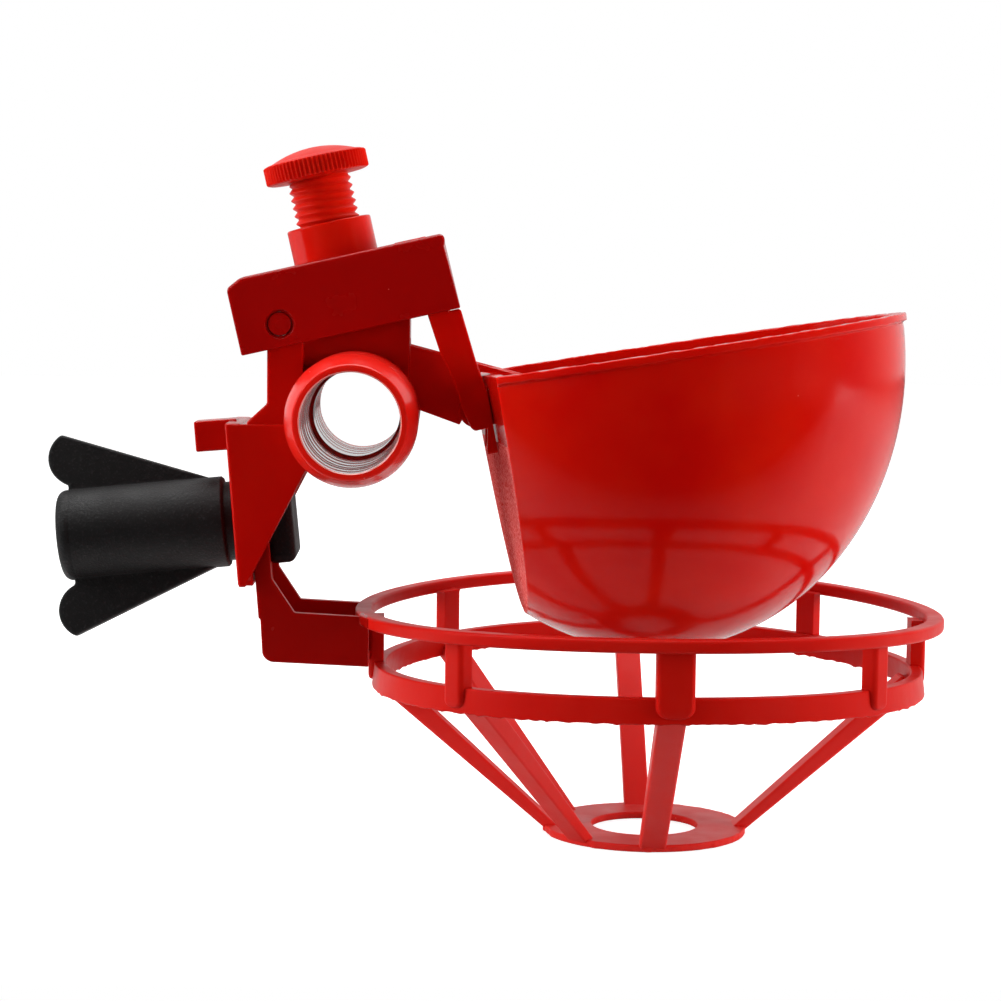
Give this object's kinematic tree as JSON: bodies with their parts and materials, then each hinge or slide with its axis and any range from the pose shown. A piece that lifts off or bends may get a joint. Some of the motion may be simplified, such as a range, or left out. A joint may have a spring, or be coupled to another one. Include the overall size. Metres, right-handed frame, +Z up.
{
  "type": "poultry drinking cup",
  "caption": "Float-type poultry drinking cup: water tee with a weighing lever valve, hanging cup, guard basket and a wing-knob clamp for cage wire",
  "frame": {"origin": "on the outer face of the clamp plate, in the middle plane, between the peg and the clamp bolt: where the part bears on the cage wire", "axes": "+X from the cage wire towards the cup, +Y along the water pipe away from the viewer, +Z up"},
  "size_m": [0.1982, 0.13, 0.1513],
  "materials": {
    "red_body": "smooth",
    "red_bright": "smooth",
    "black_plastic": "matte",
    "spring_steel": "drawn",
    "seal_rubber": "matte"
  },
  "bodies": {
    "stand": {"valve_body": "red_body", "guard_basket": "red_bright", "lift_spring": "spring_steel"},
    "lever": {"lever_cap": "red_body", "hinge_pin": "red_body", "cup_hanger": "red_body", "drinking_cup": "red_bright"},
    "seal": {"valve_seal": "seal_rubber"},
    "screw": {"adjusting_screw": "red_bright"},
    "bolt": {"clamp_bolt": "black_plastic"},
    "knob": {"wing_knob": "black_plastic"}
  },
  "joints": [
    {"name": "lever_tilt", "type": "hinge", "parent": "stand", "child": "lever", "pos_m": [0.011, 0, 0.0308], "axis": [0, 1, 0], "range_deg": [0, 13], "stiffness_Nm_per_rad": 0.6, "springref_deg": -14.32, "deforming": ["lift_spring"]},
    {"name": "seal_rise", "type": "slide", "parent": "lever", "child": "seal", "axis": [-0.225, 0, 0.9744], "range_m": [0, 0.0034]},
    {"name": "screw_turn", "type": "hinge", "parent": "seal", "child": "screw", "pos_m": [0.02489, 0, 0.03401], "axis": [-0.225, 0, 0.9744], "range_deg": [0, 720]},
    {"name": "bolt_slide", "type": "slide", "parent": "stand", "child": "bolt", "axis": [0.9951, 0, 0.0993], "range_m": [0, 0.0025]},
    {"name": "knob_turn", "type": "hinge", "parent": "stand", "child": "knob", "pos_m": [0.00107, 0, -0.01276], "axis": [-0.9951, 0, -0.0993], "range_deg": [0, 720]}
  ],
  "couplings": [
    {"joint": "screw_turn", "follows": "seal_rise", "rad_per_m": 3696},
    {"joint": "knob_turn", "follows": "bolt_slide", "rad_per_m": 5026.5}
  ]
}
